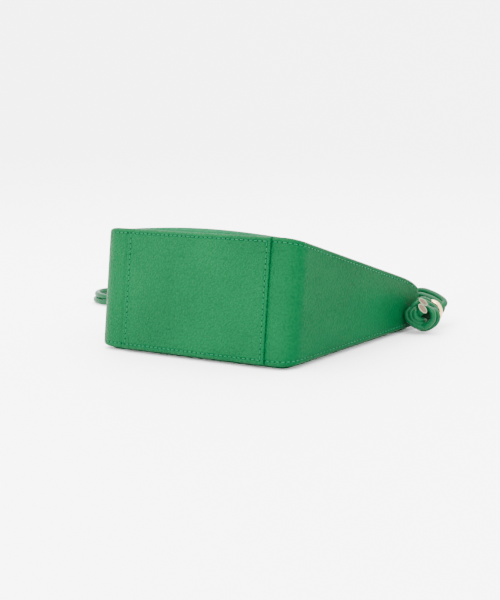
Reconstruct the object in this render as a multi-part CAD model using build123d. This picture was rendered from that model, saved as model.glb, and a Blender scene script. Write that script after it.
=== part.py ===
from build123d import *
import math
import os

# A small wedge-shaped handbag of stitched leather, lying on its back panel.
# Two parallel leather cords form its handle: they run through a ring at each end of the mouth and
# end in overhand knots.
#
# The bag is built in its own frame: u across the width, v from the base to the mouth and
# w through the thickness. It is then tipped by half its wedge angle, so that the back panel lies level.
# Lengths are in millimetres.

os.makedirs("parts", exist_ok=True)

# ---- driving dimensions -------------------------------------------------------------------------
base_width = 177.0
mouth_width = 200.0
height = 185.0
base_depth = 92.0
mouth_depth = 31.0
bottom_corner_radius = 15.0
mouth_corner_radius = 14.0

leather = 1.8                # gussets and zip facings
base_leather = 1.5           # base panel, laid over the gussets' lower ends
panel_leather = 1.6          # front and back panels, with their turned-in rims
board = 1.2                  # stiffener behind a panel
lining = 0.6
panel_proud = 3.0            # how far a panel's face stands out past the gusset's edge
rim_depth = 9.0              # how far a panel's turned rim reaches in along the gusset

base_panel_half = 64.9       # half the base panel's width
base_panel_middle = 2.5      # the panel is sewn a little off the middle
gusset_tuck = 46.0           # where a gusset's lower end stops, under the base panel
mouth_seam = 78.0            # where a gusset's upper end meets the zip facings

zip_half = 75.0              # half the length of the tooth rows
tooth_pitch = 2.0
tooth_gap = 1.2              # between the two rows, for the slider's web
slider_rest = -69.0          # slider's place when the bag is closed

ring_radius = 8.3            # of the wire's centre line
ring_wire = 1.7              # wire radius
ring_u = 98.7                # axis of the wire's limb that the tab holds
ring_v = 184.0
ring_w = -5.8                # the tabs are sewn below the middle of the mouth

tab_leather = 1.4
tab_width = 6.5
tab_slack = 0.7              # the loop is a slot, because the limb it holds is curved
tab_start = 75.2
tab_bend = 90.7              # where the strap leaves the mouth for the ring

cord_diameter = 5.0
knot_size = (26.4, 26.0, 24.6)

# ---- worked out from them -----------------------------------------------------------------------
half_wedge = math.degrees(math.atan((base_depth - mouth_depth) / 2 / height))
cos_wedge = math.cos(math.radians(half_wedge))
sin_wedge = math.sin(math.radians(half_wedge))
lift = base_depth / 2 * cos_wedge + panel_proud
origin_y = 88.23             # middle of the bag, measured from the base's middle


def half_depth(v):
    """Half the gusset's width at the height v."""
    return base_depth / 2 - v * math.tan(math.radians(half_wedge))


def lay_down(shape):
    """Tip a shape from the bag's own frame on to its back, with the origin under its middle."""
    return Pos(0, -origin_y, lift) * Rot(-half_wedge, 0, 0) * shape


def block(u, v, w):
    """A block between two limits along each axis."""
    size = (u[1] - u[0], v[1] - v[0], w[1] - w[0])
    middle = ((u[0] + u[1]) / 2, (v[0] + v[1]) / 2, (w[0] + w[1]) / 2)
    return Pos(*middle) * Box(*size)


def mirrored(shape):
    """The same piece on the bag's other side."""
    return mirror(shape, about=Plane.YZ)


def front_to_back(shape):
    return mirror(shape, about=Plane.XY)


def outline(inset):
    """The bag seen from the front: a flared shape with rounded corners, moved in by inset."""
    face = Polygon(
        (-base_width / 2, 0), (base_width / 2, 0), (mouth_width / 2, height), (-mouth_width / 2, height),
        align=None,
    )
    low = face.vertices().group_by(Axis.Y)[0]
    face = fillet(low, bottom_corner_radius)
    high = face.vertices().group_by(Axis.Y)[-1]
    face = fillet(high, mouth_corner_radius)
    if inset > 0:
        face = offset(face, amount=-inset)
    return face


def prism(inset):
    return extrude(outline(inset), amount=80, both=True)


def wedge(proud):
    """Everything between the two panel planes, each moved outward by proud."""
    reach = proud / cos_wedge
    low, high = -20.0, height + 20.0
    side = Polygon(
        (low, -half_depth(low) - reach),
        (high, -half_depth(high) - reach),
        (high, half_depth(high) + reach),
        (low, half_depth(low) + reach),
        align=None,
    )
    return extrude(Plane.YZ * side, amount=130, both=True)


def layer(inset, outer, inner):
    """A flat sheet in the front half, between two distances from the front panel's plane."""
    return (prism(inset) & wedge(outer)) - wedge(inner) & block((-130, 130), (-20, 230), (0, 100))


# ---- leather shell ------------------------------------------------------------------------------
strip = (prism(0) - prism(leather)) & wedge(0)
whole = (-200, 200)
lower = (-10, height / 2)
upper = (height / 2, height + 10)


def gusset():
    """Side strip: from under the base panel, round the corner, up the side and on to the mouth."""
    lower_run = strip & block((gusset_tuck, 130), lower, whole)
    upper_run = strip & block((mouth_seam, 130), upper, whole)
    return lower_run + upper_run


def panel():
    """Front panel: a tray whose rim is turned in along the gusset and stitched through it."""
    shell = layer(leather, panel_proud, -rim_depth)
    hollow = layer(leather + panel_leather, panel_proud - panel_leather, -rim_depth - 5)
    return shell - hollow


def base_panel():
    ends = (base_panel_middle - base_panel_half, base_panel_middle + base_panel_half)
    plate = block(ends, (-base_leather, 0), whole)
    return plate & wedge(0)


def base_board():
    """Stiffener between the two gussets' lower ends; it stops short of the folded edges."""
    return strip & block((-gusset_tuck + 0.1, gusset_tuck - 0.1), lower, whole) & wedge(-2.0)


def panel_board():
    """Stiffener that keeps a panel flat."""
    return layer(leather + panel_leather + 0.4, panel_proud - panel_leather, panel_proud - panel_leather - board)


def panel_lining():
    face = panel_proud - panel_leather - board
    return layer(leather + panel_leather + 0.4, face, face - lining)


def side_lining():
    """Lining of the base and both gussets, open at the mouth."""
    inset = leather + panel_leather
    face = panel_proud - panel_leather - board - lining - 0.1
    tube = (prism(inset) - prism(inset + lining)) & wedge(face)
    return tube & block((-130, 130), (-10, height - inset - mouth_corner_radius), whole)


def inner_pocket():
    """Slip pocket on the back lining: a low pouch, open toward the mouth."""
    face = panel_proud - panel_leather - board - lining
    outer = layer(0, face, face - 1.4) & block((-50, 50), (45, 120), whole)
    cavity = layer(0, face, face - 0.8) & block((-46, 46), (49, 125), whole)
    return front_to_back(outer - cavity)


def label_patch():
    face = panel_proud - panel_leather - board - lining
    return layer(0, face, face - 1.2) & block((-24, 24), (128, 146), whole)


# ---- zip ----------------------------------------------------------------------------------------
teeth_top = height - 1.3
teeth_bottom = height - 3.0
tape_inner = 1.9
tape_outer = 5.8
facing_inner = 3.6


def zip_facing():
    return strip & block((-mouth_seam, mouth_seam), upper, (facing_inner, 100))


def zip_tape():
    thickness = (height - leather - 0.8, height - leather)
    return block((-mouth_seam + 1, mouth_seam - 1), thickness, (tape_inner, tape_outer))


def zip_teeth():
    """One row of teeth on its spine."""
    count = int(2 * zip_half / tooth_pitch)
    spine_width = 0.6
    tooth_length = tape_inner - spine_width - tooth_gap / 2
    spine = block((-zip_half, zip_half), (teeth_bottom, teeth_top), (tape_inner - spine_width, tape_inner))
    row = Sketch() + [
        Pos(-zip_half + (i + 0.5) * tooth_pitch, tooth_gap / 2 + tooth_length / 2 + 0.05)
        * Rectangle(1.0, tooth_length + 0.1)
        for i in range(count)
    ]
    # the row is drawn in the u-w plane and thickened toward the base
    plane = Plane(origin=(0, teeth_top, 0), x_dir=(1, 0, 0), z_dir=(0, -1, 0))
    teeth = extrude(plane * row, amount=teeth_top - teeth_bottom)
    return spine + teeth


def zip_stop():
    return block((zip_half + 0.2, zip_half + 1.7), (teeth_bottom, height - 0.9), (-tape_inner, tape_inner))


def zip_slider():
    """Two plates joined by a thin web between the tooth rows, with an arch for the puller."""
    middle = slider_rest
    top = block((middle - 4.5, middle + 4.5), (height - 1.2, height - 0.2), (-3.2, 3.2))
    bottom = block((middle - 4.5, middle + 4.5), (height - 4.2, height - 3.1), (-3.2, 3.2))
    web = block((middle + 1.0, middle + 4.0), (height - 3.2, height - 1.1), (-0.5, 0.5))
    flange = block((middle - 4.5, middle + 4.5), (height - 1.7, height - 1.1), (2.4, 3.2))
    arch = block((middle - 3.1, middle + 3.1), (height - 0.3, height + 2.8), (-1.0, 1.0))
    window = block((middle - 2.2, middle + 2.2), (height - 0.2, height + 2.0), (-2.0, 2.0))
    return top + bottom + web + flange + front_to_back(flange) + (arch - window)


def zip_puller():
    """Flat pull with a cross pin under the slider's arch; it rests along the zip."""
    axis_v = height + 0.9
    thickness = 1.1
    pin = Pos(slider_rest, axis_v, 0) * Cylinder(0.55, 4.4)
    low, high = axis_v - thickness / 2, axis_v + thickness / 2
    arm = block((slider_rest - 0.55, slider_rest + 6.5), (low, high), (1.3, 2.2))
    plate = block((slider_rest + 5.5, slider_rest + 17.0), (low, high), (-3.6, 3.6))
    end = Pos(slider_rest + 17.0, axis_v, 0) * Rot(90, 0, 0) * Cylinder(3.6, thickness)
    hole = Pos(slider_rest + 17.0, axis_v, 0) * Rot(90, 0, 0) * Cylinder(1.4, 4)
    return pin + arm + front_to_back(arm) + plate + end - hole


# ---- handle fittings ----------------------------------------------------------------------------
def ring():
    """Round ring; its inner limb lies in the tab's loop."""
    return Pos(ring_u + ring_radius, ring_v, ring_w) * Rot(90, 0, 0) * Torus(ring_radius, ring_wire)


def ring_tab():
    """Folded strap sewn flat on the end of the mouth, whose loop holds the ring."""
    bore = ring_wire + 0.18
    outer = bore + tab_leather
    flat_top = height + 2 * tab_leather
    flat_middle = Pos((tab_start + tab_bend) / 2, (height + flat_top) / 2)
    flat = flat_middle * Rectangle(tab_bend - tab_start, 2 * tab_leather)
    neck = Polygon(
        (tab_bend, height), (ring_u - 1.2, ring_v - outer * 0.92), (ring_u, ring_v + outer), (tab_bend, flat_top),
        align=None,
    )
    middle = Pos(ring_u + tab_slack / 2, ring_v)
    loop = middle * SlotCenterToCenter(tab_slack, 2 * outer)
    profile = flat + neck + loop - middle * SlotCenterToCenter(tab_slack, 2 * bore)
    return Pos(0, 0, ring_w) * extrude(profile, amount=tab_width / 2, both=True)


def tab_backing():
    """Reinforcement inside the mouth, under the tab's stitches."""
    return block((mouth_seam + 0.2, mouth_seam + 5.4), (height - leather - 1.2, height - leather), (-5.8, 5.8))


# ---- handle cords -------------------------------------------------------------------------------
# Route points are measured from the middle of the base's width, before the bag's origin is moved.
# Both run from the right knot, through the right ring, behind the mouth, round a bight on the left
# and through the left ring to the left knot.
cord_routes = {
    "handle_cord_upper": [
        (110.2, 164.0, 15.0),
        (106.7, 180.2, 14.6),
        (111.5, 190.0, 18.6),
        (100.2, 194.4, 22.8),
        (84.0, 196.4, 26.6),
        (60.0, 204.6, 8.6),
        (24.0, 206.4, 2.5),
        (-46.0, 212.0, 2.5),
        (-104.0, 221.5, 2.5),
        (-159.4, 230.4, 2.5),
        (-197.7, 198.2, 4.0),
        (-226.7, 172.6, 7.2),
        (-219.8, 145.5, 7.8),
        (-192.0, 138.7, 6.0),
        (-164.4, 175.5, 3.4),
        (-134.0, 218.2, 6.0),
        (-103.5, 205.6, 12.8),
        (-107.3, 179.2, 15.6),
        (-110.2, 164.0, 15.2),
    ],
    "handle_cord_lower": [
        (110.2, 164.0, 9.5),
        (107.1, 179.8, 9.0),
        (114.5, 190.8, 12.4),
        (106.0, 200.2, 18.4),
        (84.0, 202.0, 20.4),
        (58.0, 210.6, 4.4),
        (20.0, 212.4, 2.5),
        (-46.0, 218.0, 2.5),
        (-104.0, 227.8, 2.5),
        (-164.4, 238.7, 2.5),
        (-203.9, 205.0, 2.5),
        (-232.9, 175.4, 2.5),
        (-224.4, 139.9, 2.5),
        (-190.5, 131.6, 2.5),
        (-157.9, 171.7, 2.5),
        (-132.1, 211.0, 2.5),
        (-109.1, 201.3, 6.6),
        (-107.3, 179.6, 9.9),
        (-110.2, 164.0, 9.7),
    ],
}


def bend_radii(points):
    """The widest bend that each corner's two runs leave room for."""
    radii = []
    for before, corner, after in zip(points, points[1:], points[2:]):
        first = Vector(*corner) - Vector(*before)
        second = Vector(*after) - Vector(*corner)
        turn = math.radians(first.get_angle(second))
        radii.append(0.45 * min(first.length, second.length) / math.tan(turn / 2))
    return radii


def cord(name):
    points = [(x, y - origin_y, z) for x, y, z in cord_routes[name]]
    radii = bend_radii(points)
    path = FilletPolyline(*points, radius=radii)
    start = Plane(origin=path @ 0, z_dir=path % 0)
    solid = sweep(start * Circle(cord_diameter / 2), path=path)
    print(name, "length", round(path.length, 1), "tightest bend", round(min(radii), 1))
    print("   bends", [round(r, 1) for r in radii])
    section = math.pi * (cord_diameter / 2) ** 2
    print("   volume over section times length", round(solid.volume / section / path.length, 4))
    return solid


knot_centres = {"right": (111.8, 156.0, 12.32), "left": (-111.8, 156.0, 12.32)}


def knot(side):
    """Overhand knot of both cords, as one rounded solid."""
    x, y, z = knot_centres[side]
    body = scale(Sphere(1), by=tuple(s / 2 for s in knot_size))
    return Pos(x, y - origin_y, z) * body


def cord_tails(side):
    """The two trimmed cord ends that stand out of a knot."""
    x, y, z = knot_centres[side]
    tails = []
    for across, up in ((0.6, 7.4), (0.2, 2.0)):
        tail = Pos(x + across, y - 8.5 - origin_y, z + up) * Rot(72, 0, 0) * Cylinder(cord_diameter / 2, 11)
        tails.append(tail)
    return tails


# ---- the parts ----------------------------------------------------------------------------------
front_panel = panel()
front_board = panel_board()
front_lining = panel_lining()

pieces = {
    "front_panel": front_panel,
    "back_panel": front_to_back(front_panel),
    "gusset_right": gusset(),
    "gusset_left": mirrored(gusset()),
    "base_panel": base_panel(),
    "base_board": base_board(),
    "front_board": front_board,
    "back_board": front_to_back(front_board),
    "front_lining": front_lining,
    "back_lining": front_to_back(front_lining),
    "side_lining": side_lining(),
    "inner_pocket": inner_pocket(),
    "label_patch": label_patch(),
    "zip_facing_front": zip_facing(),
    "zip_facing_back": front_to_back(zip_facing()),
    "zip_tape_front": zip_tape(),
    "zip_tape_back": front_to_back(zip_tape()),
    "zip_teeth_front": zip_teeth(),
    "zip_teeth_back": front_to_back(zip_teeth()),
    "zip_stop_right": zip_stop(),
    "zip_stop_left": mirrored(zip_stop()),
    "zip_slider": zip_slider(),
    "zip_puller": zip_puller(),
    "ring_tab_right": ring_tab(),
    "ring_tab_left": mirrored(ring_tab()),
    "tab_backing_right": tab_backing(),
    "tab_backing_left": mirrored(tab_backing()),
    "ring_right": ring(),
    "ring_left": mirrored(ring()),
}

laid = {name: lay_down(shape) for name, shape in pieces.items()}
bag_box = Compound(children=[s for shape in laid.values() for s in shape.solids()]).bounding_box()
print("bag middle y", round(bag_box.center().Y, 3), "low z", round(bag_box.min.Z, 3), "size", bag_box.size)

for name in cord_routes:
    laid[name] = cord(name)
for side in knot_centres:
    laid["knot_" + side] = knot(side)
    laid["cord_tails_" + side] = Compound(children=cord_tails(side))

for name, shape in laid.items():
    solids = shape.solids()
    if len(solids) == 1:
        shape = solids[0]
    shape.label = name
    export_step(shape, "parts/" + name + ".step")
    print(name, len(solids), round(sum(s.volume for s in solids), 1))
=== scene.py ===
import math

import bmesh
import bpy
from mathutils import Matrix, Vector, noise

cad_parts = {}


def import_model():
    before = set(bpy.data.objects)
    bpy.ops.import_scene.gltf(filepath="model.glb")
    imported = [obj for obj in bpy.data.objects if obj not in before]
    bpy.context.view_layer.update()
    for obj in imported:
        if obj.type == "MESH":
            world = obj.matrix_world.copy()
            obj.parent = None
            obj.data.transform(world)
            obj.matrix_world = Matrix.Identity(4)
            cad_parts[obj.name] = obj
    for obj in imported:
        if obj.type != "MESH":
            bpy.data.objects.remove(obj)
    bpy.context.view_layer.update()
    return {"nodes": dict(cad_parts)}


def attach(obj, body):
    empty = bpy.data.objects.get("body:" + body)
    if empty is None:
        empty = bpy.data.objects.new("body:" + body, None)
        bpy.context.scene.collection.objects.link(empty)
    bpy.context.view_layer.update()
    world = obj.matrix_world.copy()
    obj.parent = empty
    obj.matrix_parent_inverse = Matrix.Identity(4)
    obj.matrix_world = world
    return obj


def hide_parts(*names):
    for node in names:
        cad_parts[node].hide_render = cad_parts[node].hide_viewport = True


# A small stitched leather handbag lying on its back panel, with a handle of two leather cords that are
# knotted through a ring at each end of the mouth.
#
# The bag's own frame is u across the width, v from the base to the mouth and w through the thickness.
# Sizes are in millimetres until place() or world() turns them into the frame's metres.

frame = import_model()
MM = 0.001

# ---- sizes ----
BASE_WIDTH, MOUTH_WIDTH, HEIGHT = 177.0, 199.0, 185.0
BASE_DEPTH, MOUTH_DEPTH = 92.0, 31.0
BOTTOM_CORNER, MOUTH_CORNER = 15.0, 14.0
PANEL_PROUD = 3.0    # how far the back panel's face stands out past the gusset's fold
BASE_PANEL_MIDDLE = 2.5
BASE_PANEL_HALF = 64.9
BASE_LEATHER = 1.5
MOUTH_SEAM = 78.0    # where the gusset meets the zip facings
ORIGIN_Y = 88.23

STITCH_PITCH = 4.0
STITCH_INSET = 3.5    # from a stitch row to the folded edge beside it
BASE_SEAM = 62.0    # from the base panel's middle to the row across each of its ends

RING_RADIUS, RING_WIRE = 7.7, 2.3    # of the wire's centre line, and of the wire
RING_MIDDLE_U = 106.4
RING_U, RING_V, RING_W = 98.7, 184.0, -5.8    # the axis that the ring swings about
CORD = 5.0

# the camera's turn about Z, its rise over the floor and its roll
TURN, RISE, ROLL = math.radians(34.44), math.radians(10.262), math.radians(-1.696)
CAMERA_OFFSET = (41.81, 43.39, 970.2)    # right, up and back, from the middle of the base's edge on the floor
CAMERA_LENS = 78.0

HALF_WEDGE = math.atan((BASE_DEPTH - MOUTH_DEPTH) / 2 / HEIGHT)
COS_WEDGE, SIN_WEDGE = math.cos(HALF_WEDGE), math.sin(HALF_WEDGE)
LIFT = BASE_DEPTH / 2 * COS_WEDGE + PANEL_PROUD


def place(u, v, w):
    """A point of the bag's own frame, in metres in the shared frame."""
    y = v * COS_WEDGE + w * SIN_WEDGE - ORIGIN_Y
    z = -v * SIN_WEDGE + w * COS_WEDGE + LIFT
    return Vector((u, y, z)) * MM


def world(x, y, z):
    """A point measured from the middle of the base's edge on the floor, in metres."""
    return Vector((x, y - ORIGIN_Y, z)) * MM


def half_depth(v):
    """Half of the bag's thickness at the height v."""
    return BASE_DEPTH / 2 - v * math.tan(HALF_WEDGE)


# ---- camera, light and floor ----
def camera_axes(turn, rise, roll):
    """Right, up and backward directions of a camera turned about Z, raised and rolled."""
    back = Vector((math.sin(turn) * math.cos(rise), -math.cos(turn) * math.cos(rise), math.sin(rise)))
    level = Vector((math.cos(turn), math.sin(turn), 0))
    upright = back.cross(level).normalized()
    right = level * math.cos(roll) + upright * math.sin(roll)
    up = upright * math.cos(roll) - level * math.sin(roll)
    return right, up, back


def add_camera():
    right, up, back = camera_axes(TURN, RISE, ROLL)
    across, above, behind = CAMERA_OFFSET
    spot = right * across + up * above + back * behind
    data = bpy.data.cameras.new("camera")
    data.lens = CAMERA_LENS
    data.sensor_width = 36.0
    data.clip_start = 0.01
    camera = bpy.data.objects.new("camera", data)
    camera.matrix_world = Matrix((
        (right.x, up.x, back.x, spot.x * MM),
        (right.y, up.y, back.y, (spot.y - ORIGIN_Y) * MM),
        (right.z, up.z, back.z, spot.z * MM),
        (0, 0, 0, 1),
    ))
    bpy.context.scene.collection.objects.link(camera)
    bpy.context.scene.camera = camera


def add_area_light(name, location, target, width, power):
    """A square soft box that faces its target."""
    data = bpy.data.lights.new(name, "AREA")
    data.shape = "RECTANGLE"
    data.size = width
    data.size_y = width
    data.energy = power
    light = bpy.data.objects.new(name, data)
    light.location = location
    aim = Vector(target) - Vector(location)
    light.rotation_euler = aim.to_track_quat("-Z", "Y").to_euler()
    bpy.context.scene.collection.objects.link(light)


def add_floor():
    """A pale floor that runs back and turns up into the backdrop."""
    mesh = bpy.data.meshes.new("studio_floor")
    bm = bmesh.new()
    reach, rows = 6.0, 40
    turn_up_at, steepness = 2.0, 0.35
    edge = None
    for i in range(rows + 1):
        t = i / rows
        distance = -reach + 2 * reach * t
        rise = 0.0 if distance < turn_up_at else (distance - turn_up_at) ** 2 * steepness
        pair = [bm.verts.new((side * reach, distance, rise)) for side in (-1, 1)]
        if edge:
            bm.faces.new((edge[0], edge[1], pair[1], pair[0]))
        edge = pair
    bm.to_mesh(mesh)
    bm.free()
    mesh.polygons.foreach_set("use_smooth", [True] * len(mesh.polygons))
    floor = bpy.data.objects.new("studio_floor", mesh)
    bpy.context.scene.collection.objects.link(floor)
    material = bpy.data.materials.new("studio_floor")
    material.use_nodes = True
    shader = material.node_tree.nodes["Principled BSDF"]
    shader.inputs["Base Color"].default_value = (0.92, 0.92, 0.92, 1)
    shader.inputs["Roughness"].default_value = 0.6
    mesh.materials.append(material)


def add_light():
    """Even white light from all round, and two soft boxes."""
    studio = bpy.data.worlds.new("studio")
    studio.use_nodes = True
    background = studio.node_tree.nodes["Background"]
    background.inputs["Color"].default_value = (1.0, 1.0, 1.0, 1)
    background.inputs["Strength"].default_value = 6.4
    bpy.context.scene.world = studio
    add_area_light("top_soft_box", (-0.25, 0.10, 1.3), (0, 0, 0.03), width=1.2, power=40)
    add_area_light("front_soft_box", (-0.3, -1.5, 1.5), (0, 0, 0.04), width=0.5, power=40)


add_camera()
add_floor()
add_light()


# ---- materials ----
def new_material(name):
    material = bpy.data.materials.new(name)
    material.use_nodes = True
    nodes = material.node_tree.nodes
    return material, nodes, material.node_tree.links, nodes["Principled BSDF"]


def coordinates(nodes):
    return nodes.new("ShaderNodeTexCoord").outputs["Object"]


def noise_texture(nodes, links, scale, detail=3.0, vector=None, output="Fac"):
    texture = nodes.new("ShaderNodeTexNoise")
    texture.inputs["Scale"].default_value = scale
    texture.inputs["Detail"].default_value = detail
    links.new(vector or coordinates(nodes), texture.inputs["Vector"])
    return texture.outputs[output]


def colour_ramp(nodes, links, source, stops):
    ramp = nodes.new("ShaderNodeValToRGB")
    while len(ramp.color_ramp.elements) < len(stops):
        ramp.color_ramp.elements.new(0.5)
    for element, (position, colour) in zip(ramp.color_ramp.elements, stops):
        element.position = position
        element.color = (*colour, 1)
    links.new(source, ramp.inputs["Fac"])
    return ramp.outputs["Color"]


def math_node(nodes, links, operation, a, b):
    node = nodes.new("ShaderNodeMath")
    node.operation = operation
    for socket, value in zip(node.inputs, (a, b)):
        if isinstance(value, (int, float)):
            socket.default_value = value
        else:
            links.new(value, socket)
    return node.outputs["Value"]


def bump(nodes, links, shader, height, distance, strength=1.0):
    node = nodes.new("ShaderNodeBump")
    node.inputs["Strength"].default_value = strength
    node.inputs["Distance"].default_value = distance
    links.new(height, node.inputs["Height"])
    links.new(node.outputs["Normal"], shader.inputs["Normal"])
    return node


def map_range(nodes, links, value, to_low, to_high, from_low=0.0, from_high=1.0):
    """A value moved from one range to another, and kept inside it."""
    node = nodes.new("ShaderNodeMapRange")
    links.new(value, node.inputs["Value"])
    node.inputs["From Min"].default_value = from_low
    node.inputs["From Max"].default_value = from_high
    node.inputs["To Min"].default_value = to_low
    node.inputs["To Max"].default_value = to_high
    return node.outputs["Result"]


# where a Mix node in its RGBA mode has its two colours and its result
MIX_FIRST, MIX_SECOND, MIX_RESULT = 6, 7, 2


def multiply_node(nodes, links, colour):
    """A Mix node that multiplies a colour by its second one."""
    node = nodes.new("ShaderNodeMix")
    node.data_type = "RGBA"
    node.blend_type = "MULTIPLY"
    links.new(colour, node.inputs[MIX_FIRST])
    return node


def pebble_texture(nodes, links, vector, grain_size):
    """Distance from the middle of each pebble of the grain; the pebbles are unevenly shaped."""
    warp = noise_texture(nodes, links, 0.6 / grain_size, 2.0, vector, "Color")
    shift = nodes.new("ShaderNodeVectorMath")
    shift.operation = "MULTIPLY_ADD"
    links.new(warp, shift.inputs[0])
    shift.inputs[1].default_value = (grain_size * 0.9,) * 3
    links.new(vector, shift.inputs[2])
    pebbles = nodes.new("ShaderNodeTexVoronoi")
    pebbles.feature = "SMOOTH_F1"
    pebbles.inputs["Scale"].default_value = 1.0 / grain_size
    pebbles.inputs["Smoothness"].default_value = 0.35
    links.new(shift.outputs["Vector"], pebbles.inputs["Vector"])
    return pebbles.outputs["Distance"]


# where the side walls' painted shade, shine and relief begin and are full, from the bag's middle plane, in
# metres
SIDE_BEGINS, SIDE_REACHED = 0.080, 0.091

# painted shade in the creases: the leather darkens from the middle of a pebble to the crease round it
CREASE_PAINTED_SHADE = [(0.10, (1.0, 1.0, 1.0)), (0.55, (0.78, 0.78, 0.78)), (0.9, (0.52, 0.55, 0.52))]
CREASE_PAINTED_SHADE_STRENGTH = 0.5


def leather(name, colour, grain_size, grain_depth, roughness=0.42, shine=0.032, side=None):
    """Dyed leather: rounded pebbles between fine creases, which are darkened with painted shade, and a slow
    change of tone.

    side is the painted shade, shine and relief of the bag's side walls; the painted shade darkens their
    colour.
    """
    material, nodes, links, shader = new_material(name)
    vector = coordinates(nodes)
    pebbles = pebble_texture(nodes, links, vector, grain_size)
    dome = math_node(nodes, links, "MULTIPLY", pebbles, -1.0)
    fine = noise_texture(nodes, links, 3.2 / grain_size, 2.0, vector)
    height = math_node(nodes, links, "ADD", dome, math_node(nodes, links, "MULTIPLY", fine, 0.35))
    relief = bump(nodes, links, shader, height, grain_depth)
    slow = noise_texture(nodes, links, 18.0, 3.0, vector)
    spread = 0.12
    dark = tuple(c * (1 - spread) for c in colour)
    light = tuple(c * (1 + spread) for c in colour)
    shade = colour_ramp(nodes, links, slow, [(0.3, dark), (0.7, light)])
    shader.inputs["Specular IOR Level"].default_value = shine
    if side:
        side_painted_shade, side_shine, side_relief = side
        apart = nodes.new("ShaderNodeSeparateXYZ")
        links.new(vector, apart.inputs["Vector"])
        away = math_node(nodes, links, "ABSOLUTE", apart.outputs["X"], 0.0)
        reach = map_range(nodes, links, away, 0.0, 1.0, SIDE_BEGINS, SIDE_REACHED)
        # painted shade: the side walls' colour is multiplied darker
        side_painted_shade_node = multiply_node(nodes, links, shade)
        side_painted_shade_node.inputs[MIX_SECOND].default_value = (side_painted_shade, side_painted_shade, side_painted_shade, 1)
        links.new(reach, side_painted_shade_node.inputs["Factor"])
        shade = side_painted_shade_node.outputs[MIX_RESULT]
        gloss = map_range(nodes, links, reach, shine, side_shine)
        links.new(gloss, shader.inputs["Specular IOR Level"])
        strength = map_range(nodes, links, reach, 1.0, side_relief)
        links.new(strength, relief.inputs["Strength"])
    # painted shade: the colour darkens toward the creases round the pebbles
    creases = multiply_node(nodes, links, shade)
    links.new(colour_ramp(nodes, links, pebbles, CREASE_PAINTED_SHADE), creases.inputs[MIX_SECOND])
    creases.inputs["Factor"].default_value = CREASE_PAINTED_SHADE_STRENGTH
    links.new(creases.outputs[MIX_RESULT], shader.inputs["Base Color"])
    rough = map_range(nodes, links, fine, roughness - 0.05, roughness + 0.09)
    links.new(rough, shader.inputs["Roughness"])
    return material


def thread_material():
    """Waxed thread, twisted from fine fibres."""
    material, nodes, links, shader = new_material("thread")
    wave = nodes.new("ShaderNodeTexWave")
    wave.inputs["Scale"].default_value = 900.0
    wave.inputs["Distortion"].default_value = 1.5
    links.new(coordinates(nodes), wave.inputs["Vector"])
    stops = [(0.2, (0.001, 0.060, 0.022)), (0.8, (0.003, 0.092, 0.036))]
    links.new(colour_ramp(nodes, links, wave.outputs["Fac"], stops), shader.inputs["Base Color"])
    bump(nodes, links, shader, wave.outputs["Fac"], 0.00008)
    shader.inputs["Roughness"].default_value = 0.45
    shader.inputs["Specular IOR Level"].default_value = 0.05
    return material


def plain_material(name, colour, roughness, grain, grain_depth, spread=0.1):
    """A surface with fine noise in its colour and relief."""
    material, nodes, links, shader = new_material(name)
    speckle = noise_texture(nodes, links, 1.0 / grain, 4.0)
    dark = tuple(c * (1 - spread) for c in colour)
    light = tuple(min(1.0, c * (1 + spread)) for c in colour)
    shade = colour_ramp(nodes, links, speckle, [(0.3, dark), (0.7, light)])
    links.new(shade, shader.inputs["Base Color"])
    bump(nodes, links, shader, speckle, grain_depth)
    shader.inputs["Roughness"].default_value = roughness
    shader.inputs["Specular IOR Level"].default_value = 0.05
    return material


def metal_material():
    """Pale gold plating with faint polishing marks."""
    material, nodes, links, shader = new_material("pale_gold")
    marks = noise_texture(nodes, links, 700.0, 4.0)
    stops = [(0.3, (0.46, 0.285, 0.115)), (0.7, (0.58, 0.39, 0.18))]
    links.new(colour_ramp(nodes, links, marks, stops), shader.inputs["Base Color"])
    links.new(map_range(nodes, links, marks, 0.14, 0.26), shader.inputs["Roughness"])
    bump(nodes, links, shader, marks, 0.00001, 0.5)
    shader.inputs["Metallic"].default_value = 1.0
    return material


def woven_material(name, colour, pitch):
    """Plain weave: two crossed sets of threads."""
    material, nodes, links, shader = new_material(name)
    vector = coordinates(nodes)
    waves = []
    for axis in ("X", "Y"):
        wave = nodes.new("ShaderNodeTexWave")
        wave.bands_direction = axis
        wave.inputs["Scale"].default_value = 0.31 / pitch
        wave.inputs["Distortion"].default_value = 0.4
        links.new(vector, wave.inputs["Vector"])
        waves.append(wave.outputs["Fac"])
    weave = math_node(nodes, links, "MULTIPLY", waves[0], waves[1])
    dark = tuple(c * 0.7 for c in colour)
    shade = colour_ramp(nodes, links, weave, [(0.0, dark), (0.6, colour)])
    links.new(shade, shader.inputs["Base Color"])
    bump(nodes, links, shader, weave, pitch * 0.25)
    shader.inputs["Roughness"].default_value = 0.85
    shader.inputs["Specular IOR Level"].default_value = 0.02
    return material


# Each leather's colour, the size of its pebbles and the depth of its relief, the last two in metres.
# the gusset's green is a little darker than the base panel's, as painted shade, and its side walls get more
# painted shade
GUSSET_PAINTED_SHADE_GREEN = (0.0004, 0.048, 0.0141)
SIDE_WALL_PAINTED_SHADE_SHINE_RELIEF = (0.78, 0.015, 0.30)
pebbled_leather = leather("pebbled_leather", (0.0004, 0.050, 0.0148), 0.0017, 0.0008, shine=0.028)
gusset_painted_shade_leather = leather("gusset_painted_shade_leather", GUSSET_PAINTED_SHADE_GREEN, 0.0017, 0.0007, shine=0.028, side=SIDE_WALL_PAINTED_SHADE_SHINE_RELIEF)
cord_leather = leather("cord_leather", (0.0010, 0.043, 0.0140), 0.0008, 0.00010, roughness=0.32, shine=0.06)
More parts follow.
